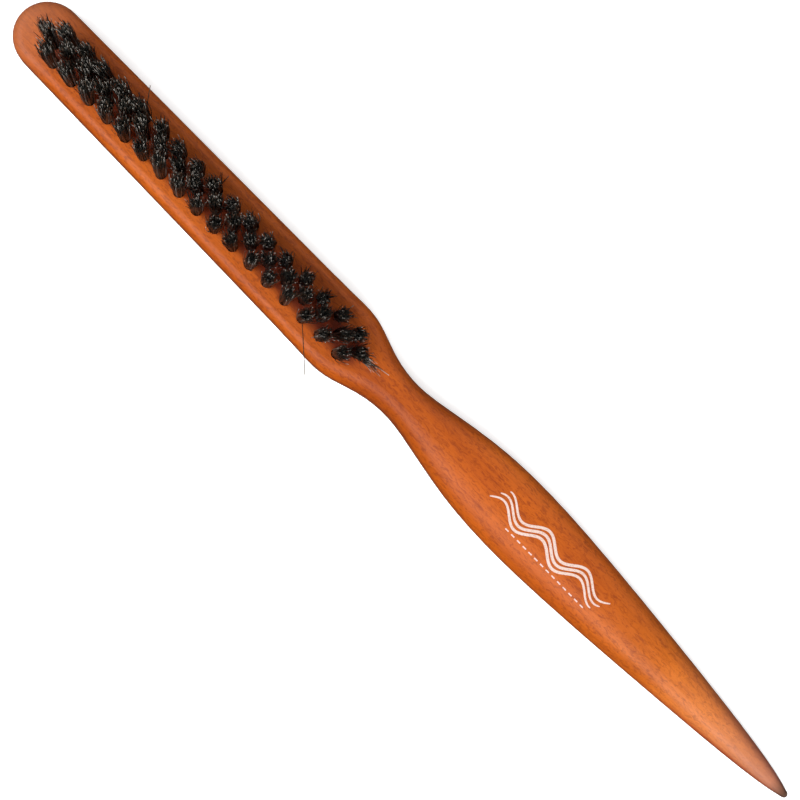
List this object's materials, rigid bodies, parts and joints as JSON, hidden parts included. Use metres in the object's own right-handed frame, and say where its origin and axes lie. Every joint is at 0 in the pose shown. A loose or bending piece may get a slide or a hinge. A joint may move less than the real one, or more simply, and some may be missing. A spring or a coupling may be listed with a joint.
{
  "type": "teasing brush",
  "caption": "Slim wooden backcombing brush: narrow head with rows of dark natural-bristle tufts, waisted neck, and a handle that tapers to a pointed tail for parting hair.",
  "frame": {"origin": "on the plane the flat back lies on, under the middle of the brush's bounding box", "axes": "+X along the brush from the head to the tail tip, +Y across it, +Z out of the bristle face"},
  "size_m": [0.225, 0.017, 0.0215],
  "materials": {
    "lacquered_wood": "orange-brown stain under a satin clear lacquer",
    "bristle": "black natural boar bristle with a soft gloss",
    "anchor_steel": "flattened plain wire"
  },
  "bodies": {
    "root": {"wooden_body": "lacquered_wood", "tuft_left_01": "bristle", "tuft_left_02": "bristle", "tuft_left_03": "bristle", "tuft_left_04": "bristle", "tuft_left_05": "bristle", "tuft_left_06": "bristle", "tuft_left_07": "bristle", "tuft_left_08": "bristle", "tuft_left_09": "bristle", "tuft_left_10": "bristle", "tuft_left_11": "bristle", "tuft_left_12": "bristle", "tuft_left_13": "bristle", "tuft_left_14": "bristle", "tuft_left_15": "bristle", "tuft_left_16": "bristle", "tuft_left_17": "bristle", "tuft_middle_01": "bristle", "tuft_middle_02": "bristle", "tuft_middle_03": "bristle", "tuft_middle_04": "bristle", "tuft_middle_05": "bristle", "tuft_middle_06": "bristle", "tuft_middle_07": "bristle", "tuft_middle_08": "bristle", "tuft_middle_09": "bristle", "tuft_middle_10": "bristle", "tuft_middle_11": "bristle", "tuft_middle_12": "bristle", "tuft_middle_13": "bristle", "tuft_middle_14": "bristle", "tuft_middle_15": "bristle", "tuft_middle_16": "bristle", "tuft_middle_17": "bristle", "tuft_middle_18": "bristle", "tuft_right_01": "bristle", "tuft_right_02": "bristle", "tuft_right_03": "bristle", "tuft_right_04": "bristle", "tuft_right_05": "bristle", "tuft_right_06": "bristle", "tuft_right_07": "bristle", "tuft_right_08": "bristle", "tuft_right_09": "bristle", "tuft_right_10": "bristle", "tuft_right_11": "bristle", "tuft_right_12": "bristle", "tuft_right_13": "bristle", "tuft_right_14": "bristle", "tuft_right_15": "bristle", "tuft_right_16": "bristle", "tuft_right_17": "bristle", "anchors_left": "anchor_steel", "anchors_middle": "anchor_steel", "anchors_right": "anchor_steel"}
  },
  "joints": []
}
